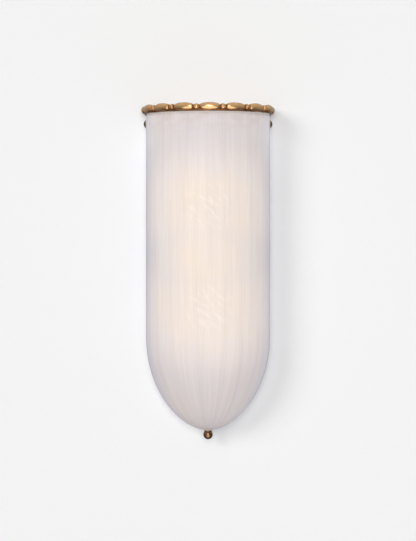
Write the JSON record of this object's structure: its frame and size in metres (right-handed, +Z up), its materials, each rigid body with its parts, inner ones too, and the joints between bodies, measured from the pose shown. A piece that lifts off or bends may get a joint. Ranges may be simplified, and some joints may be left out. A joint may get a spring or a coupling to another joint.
{
  "type": "wall sconce",
  "caption": "Half-round wall sconce: streaked opal glass shade with a rounded foot and ball finial under a cast bead-and-reel brass band, lamps inside on a strap-mounted wall plate.",
  "frame": {"origin": "on the wall plane, at the centre of the wall box and of the mounting strap", "axes": "+Z up, +Y into the wall, +X to the right of a viewer who faces the wall"},
  "size_m": [0.1524, 0.0982, 0.3798],
  "materials": {
    "opal_glass": "satin opal, fine vertical streaks",
    "silicone": "soft, translucent white",
    "antique_brass": "cast, antiqued, rubbed on the high places",
    "aged_brass": "aged, satin",
    "dark_brass": "dark antique brass, polished on the crown",
    "bright_brass": "bright, stamped",
    "white_enamel": "baked white enamel on steel",
    "zinc_steel": "zinc plated steel",
    "green_paint": "green dyed steel screw",
    "black_nylon": "moulded nylon",
    "clear_nylon": "translucent nylon",
    "black_sleeve": "sleeved lead",
    "white_sleeve": "sleeved lead",
    "brown_phenolic": "moulded phenolic",
    "lamp_solder": "solder",
    "black_lamp_glass": "vitrified insulator",
    "lamp_metal": "rolled thread, nickel plated",
    "lamp_glass": "opal lamp glass"
  },
  "bodies": {
    "fixture": {"arm_rivets": "zinc_steel", "bead_band": "antique_brass", "cap_nuts": "zinc_steel", "collar_rivets": "aged_brass", "finial_bracket": "zinc_steel", "finial_bracket_rivets": "zinc_steel", "finial_nut": "aged_brass", "glass_shade": "opal_glass", "ground_screw": "green_paint", "hole_grommets": "clear_nylon", "lamp_arm": "zinc_steel", "lampholder_nipple": "zinc_steel", "live_leads": "black_sleeve", "lower_centre_contact": "bright_brass", "lower_lampholder": "brown_phenolic", "lower_screw_shell": "bright_brass", "mounting_strap": "zinc_steel", "mounting_studs": "zinc_steel", "neutral_leads": "white_sleeve", "rim_gasket": "silicone", "seat_washer": "clear_nylon", "shade_collar": "aged_brass", "stud_washers": "zinc_steel", "thumb_nuts": "aged_brass", "upper_centre_contact": "bright_brass", "upper_lampholder": "brown_phenolic", "upper_screw_shell": "bright_brass", "wall_plate": "white_enamel", "wire_bushing": "black_nylon"},
    "finial_carrier": {"finial_washer": "clear_nylon"},
    "finial": {"finial_ball": "dark_brass", "finial_stud": "aged_brass"},
    "left_thumb_carrier": {"left_thumb_washer": "clear_nylon"},
    "left_thumb": {"left_thumb_screw": "dark_brass"},
    "right_thumb_carrier": {"right_thumb_washer": "clear_nylon"},
    "right_thumb": {"right_thumb_screw": "dark_brass"},
    "upper_lamp_carrier": {"upper_lamp_tip": "lamp_solder"},
    "upper_lamp": {"upper_lamp_insulator": "black_lamp_glass", "upper_lamp_cap": "lamp_metal", "upper_lamp_globe": "lamp_glass"},
    "lower_lamp_carrier": {"lower_lamp_tip": "lamp_solder"},
    "lower_lamp": {"lower_lamp_insulator": "black_lamp_glass", "lower_lamp_cap": "lamp_metal", "lower_lamp_globe": "lamp_glass"}
  },
  "joints": [
    {"name": "finial_advance", "type": "slide", "parent": "fixture", "child": "finial_carrier", "axis": [0, 0, -1], "range_m": [0, 0.0056]},
    {"name": "finial_turn", "type": "hinge", "parent": "finial_carrier", "child": "finial", "pos_m": [0, -0.022, -0.1873], "axis": [0, 0, -1], "range_deg": [0, 2880]},
    {"name": "left_thumb_advance", "type": "slide", "parent": "fixture", "child": "left_thumb_carrier", "axis": [-1, 0, 0], "range_m": [0, 0.0049]},
    {"name": "left_thumb_turn", "type": "hinge", "parent": "left_thumb_carrier", "child": "left_thumb", "pos_m": [-0.071, -0.017, 0.167], "axis": [-1, 0, 0], "range_deg": [0, 2520]},
    {"name": "right_thumb_advance", "type": "slide", "parent": "fixture", "child": "right_thumb_carrier", "axis": [1, 0, 0], "range_m": [0, 0.0049]},
    {"name": "right_thumb_turn", "type": "hinge", "parent": "right_thumb_carrier", "child": "right_thumb", "pos_m": [0.071, -0.017, 0.167], "axis": [1, 0, 0], "range_deg": [0, 2520]},
    {"name": "upper_lamp_advance", "type": "slide", "parent": "fixture", "child": "upper_lamp_carrier", "axis": [0, 0, 1], "range_m": [0, 0.00762]},
    {"name": "upper_lamp_turn", "type": "hinge", "parent": "upper_lamp_carrier", "child": "upper_lamp", "pos_m": [0, -0.048, 0.0284], "axis": [0, 0, 1], "range_deg": [0, 1080]},
    {"name": "lower_lamp_advance", "type": "slide", "parent": "fixture", "child": "lower_lamp_carrier", "axis": [0, 0, -1], "range_m": [0, 0.00762]},
    {"name": "lower_lamp_turn", "type": "hinge", "parent": "lower_lamp_carrier", "child": "lower_lamp", "pos_m": [0, -0.048, 0.0006], "axis": [0, 0, -1], "range_deg": [0, 1080]}
  ],
  "couplings": [
    {"joint": "finial_turn", "follows": "finial_advance", "rad_per_m": 8976},
    {"joint": "left_thumb_turn", "follows": "left_thumb_advance", "rad_per_m": 8976},
    {"joint": "right_thumb_turn", "follows": "right_thumb_advance", "rad_per_m": 8976},
    {"joint": "upper_lamp_turn", "follows": "upper_lamp_advance", "rad_per_m": 2473.7},
    {"joint": "lower_lamp_turn", "follows": "lower_lamp_advance", "rad_per_m": 2473.7}
  ]
}
